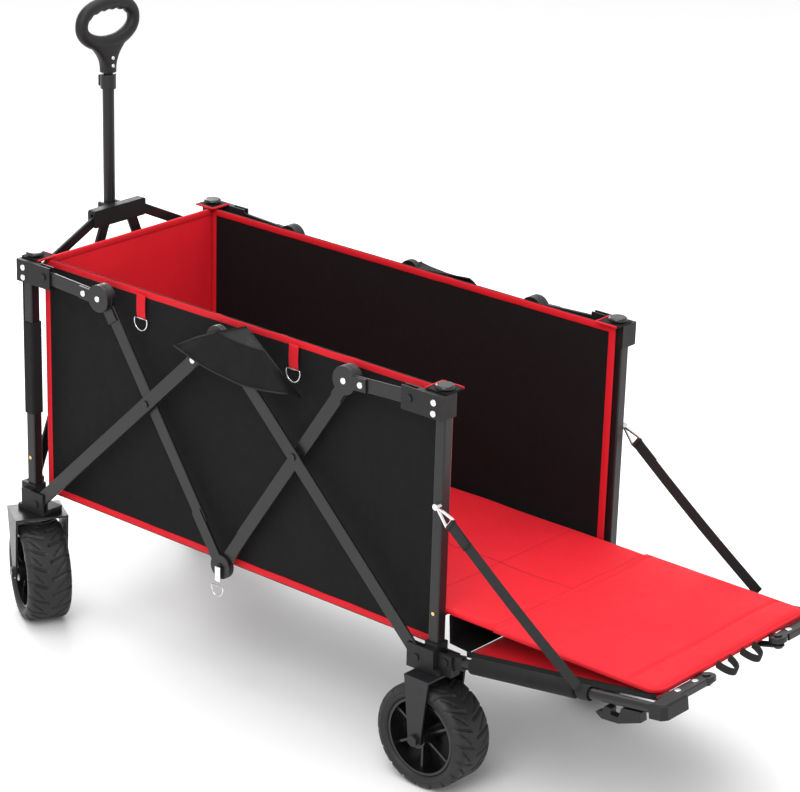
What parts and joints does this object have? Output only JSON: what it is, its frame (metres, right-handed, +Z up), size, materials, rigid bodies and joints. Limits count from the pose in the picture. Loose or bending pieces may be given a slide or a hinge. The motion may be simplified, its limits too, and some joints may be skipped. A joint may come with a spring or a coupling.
{
  "type": "folding camp wagon",
  "caption": "Collapsible fabric wagon on a crossed-bar frame with wide casters, an upright pull handle and a drop-down tailgate on straps.",
  "frame": {"origin": "on the floor, under the middle of the box of the whole wagon with the tailgate let down", "axes": "+X towards the tailgate, -X towards the handle, +Y to the right when pulling, +Z up"},
  "size_m": [1.4642, 0.6264, 1.075],
  "materials": {
    "frame_paint": "satin dark grey powder coat",
    "black_plastic": "fine textured matte",
    "tyre": "matte with a moulded tread",
    "black_fabric": "woven polyester",
    "red_fabric": "woven polyester over a thin pad",
    "bright_steel": "polished wire"
  },
  "bodies": {
    "front_left": {"post_front_left": "frame_paint", "foot_front_left": "black_plastic", "head_front_left": "black_plastic", "tub_left": "black_fabric"},
    "front_right": {"post_front_right": "frame_paint", "foot_front_right": "black_plastic", "head_front_right": "black_plastic", "tub_right": "black_fabric"},
    "rear_left": {"post_rear_left": "frame_paint", "foot_rear_left": "black_plastic", "head_rear_left": "black_plastic", "fork_rear_left": "frame_paint"},
    "rear_right": {"post_rear_right": "frame_paint", "foot_rear_right": "black_plastic", "head_rear_right": "black_plastic", "fork_rear_right": "frame_paint"},
    "long_fl": {"long_bar_front_left": "frame_paint"},
    "cross_fl": {"cross_bar_front_left": "frame_paint"},
    "rim_fl": {"rim_bar_front_left": "frame_paint"},
    "caster_fl": {"fork_front_left": "frame_paint"},
    "wheel_fl": {"rim_front_left": "black_plastic", "tyre_front_left": "tyre"},
    "long_fr": {"long_bar_front_right": "frame_paint"},
    "cross_fr": {"cross_bar_front_right": "frame_paint"},
    "rim_fr": {"rim_bar_front_right": "frame_paint"},
    "caster_fr": {"fork_front_right": "frame_paint"},
    "wheel_fr": {"rim_front_right": "black_plastic", "tyre_front_right": "tyre"},
    "long_rl": {"long_bar_rear_left": "frame_paint"},
    "cross_rl": {"cross_bar_rear_left": "frame_paint"},
    "rim_rl": {"rim_bar_rear_left": "frame_paint"},
    "wheel_rl": {"rim_rear_left": "black_plastic", "tyre_rear_left": "tyre"},
    "long_rr": {"long_bar_rear_right": "frame_paint"},
    "cross_rr": {"cross_bar_rear_right": "frame_paint"},
    "rim_rr": {"rim_bar_rear_right": "frame_paint"},
    "wheel_rr": {"rim_rear_right": "black_plastic", "tyre_rear_right": "tyre"},
    "front_bar_left": {"front_bar_left": "frame_paint"},
    "strut_left": {"front_strut_left": "frame_paint"},
    "tail_bar_left": {"tailgate_bar_left": "frame_paint"},
    "strap_left": {"strap_bail_left": "bright_steel", "strap_webbing_left": "black_fabric"},
    "front_bar_right": {"front_bar_right": "frame_paint"},
    "strut_right": {"front_strut_right": "frame_paint"},
    "tail_bar_right": {"tailgate_bar_right": "frame_paint"},
    "strap_right": {"strap_bail_right": "bright_steel", "strap_webbing_right": "black_fabric"},
    "yoke": {"yoke": "frame_paint"},
    "handle_tube": {"handle_tube": "frame_paint"},
    "handle_grip": {"handle_grip": "black_plastic"},
    "tail_left": {"tailgate_rail_left": "frame_paint", "tailgate_arm_left": "frame_paint", "tailgate_hook_left": "black_plastic", "tailgate_mat": "red_fabric"},
    "tail_right": {"tailgate_rail_right": "frame_paint", "tailgate_arm_right": "frame_paint", "tailgate_hook_right": "black_plastic"}
  },
  "joints": [
    {"name": "fold", "type": "hinge", "parent": "front_left", "child": "long_fl", "pos_m": [-0.63636, -0.226, 0.22], "axis": [0, -1, 0], "range_deg": [0, 34.73], "deforming": ["tub_left", "tub_right", "tailgate_mat"]},
    {"name": "cross_fl", "type": "hinge", "parent": "long_fl", "child": "cross_fl", "pos_m": [-0.36046, -0.226, 0.48412], "axis": [0, -1, 0], "range_deg": [-59.91, 0]},
    {"name": "rim_fl", "type": "hinge", "parent": "front_left", "child": "rim_fl", "pos_m": [-0.60536, -0.226, 0.65341], "axis": [0, -1, 0], "range_deg": [0, 86.62]},
    {"name": "top_left", "type": "hinge", "parent": "long_fl", "child": "long_rl", "pos_m": [-0.19136, -0.226, 0.646], "axis": [0, -1, 0], "range_deg": [-69.48, 0]},
    {"name": "cross_rl", "type": "hinge", "parent": "long_rl", "child": "cross_rl", "pos_m": [-0.02226, -0.226, 0.48412], "axis": [0, -1, 0], "range_deg": [0, 59.91]},
    {"name": "corner_rl", "type": "hinge", "parent": "long_rl", "child": "rear_left", "pos_m": [0.25364, -0.226, 0.22], "axis": [0, -1, 0], "range_deg": [0, 34.75]},
    {"name": "rim_rl", "type": "hinge", "parent": "rear_left", "child": "rim_rl", "pos_m": [0.22264, -0.226, 0.65341], "axis": [0, -1, 0], "range_deg": [-86.62, 0]},
    {"name": "front_bar_left", "type": "hinge", "parent": "front_left", "child": "front_bar_left", "pos_m": [-0.65936, -0.218, 0.232], "axis": [1, 0, 0], "range_deg": [0, 9.66]},
    {"name": "yoke_turn", "type": "hinge", "parent": "front_bar_left", "child": "yoke", "pos_m": [-0.65936, -0.03, 0.694], "axis": [1, 0, 0], "range_deg": [-9.66, 0]},
    {"name": "front_bar_right", "type": "hinge", "parent": "yoke", "child": "front_bar_right", "pos_m": [-0.65936, 0.03, 0.694], "axis": [1, 0, 0], "range_deg": [-9.66, 0]},
    {"name": "corner_fr", "type": "hinge", "parent": "front_bar_right", "child": "front_right", "pos_m": [-0.65936, 0.218, 0.232], "axis": [1, 0, 0], "range_deg": [0, 9.66]},
    {"name": "strut_left", "type": "hinge", "parent": "yoke", "child": "strut_left", "pos_m": [-0.65936, -0.052, 0.7], "axis": [1, 0, 0], "range_deg": [0, 36.89]},
    {"name": "strut_right", "type": "hinge", "parent": "yoke", "child": "strut_right", "pos_m": [-0.65936, 0.052, 0.7], "axis": [1, 0, 0], "range_deg": [-36.89, 0]},
    {"name": "long_fr", "type": "hinge", "parent": "front_right", "child": "long_fr", "pos_m": [-0.63636, 0.226, 0.22], "axis": [0, -1, 0], "range_deg": [0, 34.75]},
    {"name": "cross_fr", "type": "hinge", "parent": "long_fr", "child": "cross_fr", "pos_m": [-0.36046, 0.226, 0.48412], "axis": [0, -1, 0], "range_deg": [-59.91, 0]},
    {"name": "rim_fr", "type": "hinge", "parent": "front_right", "child": "rim_fr", "pos_m": [-0.60536, 0.226, 0.65341], "axis": [0, -1, 0], "range_deg": [0, 86.62]},
    {"name": "top_right", "type": "hinge", "parent": "long_fr", "child": "long_rr", "pos_m": [-0.19136, 0.226, 0.646], "axis": [0, -1, 0], "range_deg": [-69.48, 0]},
    {"name": "cross_rr", "type": "hinge", "parent": "long_rr", "child": "cross_rr", "pos_m": [-0.02226, 0.226, 0.48412], "axis": [0, -1, 0], "range_deg": [0, 59.91]},
    {"name": "corner_rr", "type": "hinge", "parent": "long_rr", "child": "rear_right", "pos_m": [0.25364, 0.226, 0.22], "axis": [0, -1, 0], "range_deg": [0, 34.75]},
    {"name": "rim_rr", "type": "hinge", "parent": "rear_right", "child": "rim_rr", "pos_m": [0.22264, 0.226, 0.65341], "axis": [0, -1, 0], "range_deg": [-86.62, 0]},
    {"name": "tailgate", "type": "hinge", "parent": "rear_left", "child": "tail_left", "pos_m": [0.30464, -0.226, 0.224], "axis": [0, -1, 0], "range_deg": [0, 82], "deforming": ["strap_webbing_left", "strap_webbing_right"]},
    {"name": "tailgate_right", "type": "hinge", "parent": "rear_right", "child": "tail_right", "pos_m": [0.30464, 0.226, 0.224], "axis": [0, -1, 0], "range_deg": [0, 82.02]},
    {"name": "tail_bar_left", "type": "hinge", "parent": "tail_left", "child": "tail_bar_left", "pos_m": [0.7057, -0.097, 0.28036], "axis": [-0.1392, 0, 0.9903], "range_deg": [0, 13.08]},
    {"name": "tail_bar_right", "type": "hinge", "parent": "tail_right", "child": "tail_bar_right", "pos_m": [0.7057, 0.097, 0.28036], "axis": [-0.1392, 0, 0.9903], "range_deg": [-13.08, 0]},
    {"name": "strap_left", "type": "hinge", "parent": "rear_left", "child": "strap_left", "pos_m": [0.28064, -0.24, 0.487], "axis": [0, -1, 0], "range_deg": [0, 77.92]},
    {"name": "strap_right", "type": "hinge", "parent": "rear_right", "child": "strap_right", "pos_m": [0.28064, 0.24, 0.487], "axis": [0, -1, 0], "range_deg": [0, 77.92]},
    {"name": "handle_tilt", "type": "hinge", "parent": "yoke", "child": "handle_tube", "pos_m": [-0.69736, 0, 0.7], "axis": [0, -1, 0], "range_deg": [0, 95]},
    {"name": "handle_slide", "type": "slide", "parent": "handle_tube", "child": "handle_grip", "axis": [0, 0, 1], "range_m": [0, 0.18]},
    {"name": "swivel_front_left", "type": "hinge", "parent": "front_left", "child": "caster_fl", "pos_m": [-0.65936, -0.226, 0.2], "axis": [0, 0, 1], "continuous": true},
    {"name": "swivel_front_right", "type": "hinge", "parent": "front_right", "child": "caster_fr", "pos_m": [-0.65936, 0.226, 0.2], "axis": [0, 0, 1], "continuous": true},
    {"name": "wheel_fl_spin", "type": "hinge", "parent": "caster_fl", "child": "wheel_fl", "pos_m": [-0.63858, -0.238, 0.09], "axis": [0.5, 0.866, 0], "continuous": true},
    {"name": "wheel_fr_spin", "type": "hinge", "parent": "caster_fr", "child": "wheel_fr", "pos_m": [-0.63858, 0.238, 0.09], "axis": [-0.5, 0.866, 0], "continuous": true},
    {"name": "wheel_rl_spin", "type": "hinge", "parent": "rear_left", "child": "wheel_rl", "pos_m": [0.27664, -0.226, 0.09], "axis": [0, 1, 0], "continuous": true},
    {"name": "wheel_rr_spin", "type": "hinge", "parent": "rear_right", "child": "wheel_rr", "pos_m": [0.27664, 0.226, 0.09], "axis": [0, 1, 0], "continuous": true}
  ],
  "couplings": [
    {"joint": "cross_fl", "follows": "fold", "ratio": -1.7243},
    {"joint": "rim_fl", "follows": "fold", "ratio": 2.4934},
    {"joint": "top_left", "follows": "fold", "ratio": -2},
    {"joint": "cross_rl", "follows": "fold", "ratio": 1.7243},
    {"joint": "corner_rl", "follows": "fold", "ratio": 1},
    {"joint": "rim_rl", "follows": "fold", "ratio": -2.4934},
    {"joint": "front_bar_left", "follows": "fold", "ratio": 0.27748},
    {"joint": "yoke_turn", "follows": "fold", "ratio": -0.27748},
    {"joint": "front_bar_right", "follows": "fold", "ratio": -0.27748},
    {"joint": "corner_fr", "follows": "fold", "ratio": 0.27748},
    {"joint": "strut_left", "follows": "fold", "ratio": 1.0615},
    {"joint": "strut_right", "follows": "fold", "ratio": -1.0615},
    {"joint": "long_fr", "follows": "fold", "ratio": 1},
    {"joint": "cross_fr", "follows": "fold", "ratio": -1.7243},
    {"joint": "rim_fr", "follows": "fold", "ratio": 2.4934},
    {"joint": "top_right", "follows": "fold", "ratio": -2},
    {"joint": "cross_rr", "follows": "fold", "ratio": 1.7243},
    {"joint": "corner_rr", "follows": "fold", "ratio": 1},
    {"joint": "rim_rr", "follows": "fold", "ratio": -2.4934},
    {"joint": "tailgate_right", "follows": "tailgate", "ratio": 1},
    {"joint": "tail_bar_left", "follows": "fold", "ratio": 0.37594},
    {"joint": "tail_bar_right", "follows": "fold", "ratio": -0.37594},
    {"joint": "strap_left", "follows": "tailgate", "ratio": 0.95},
    {"joint": "strap_right", "follows": "tailgate", "ratio": 0.95}
  ]
}
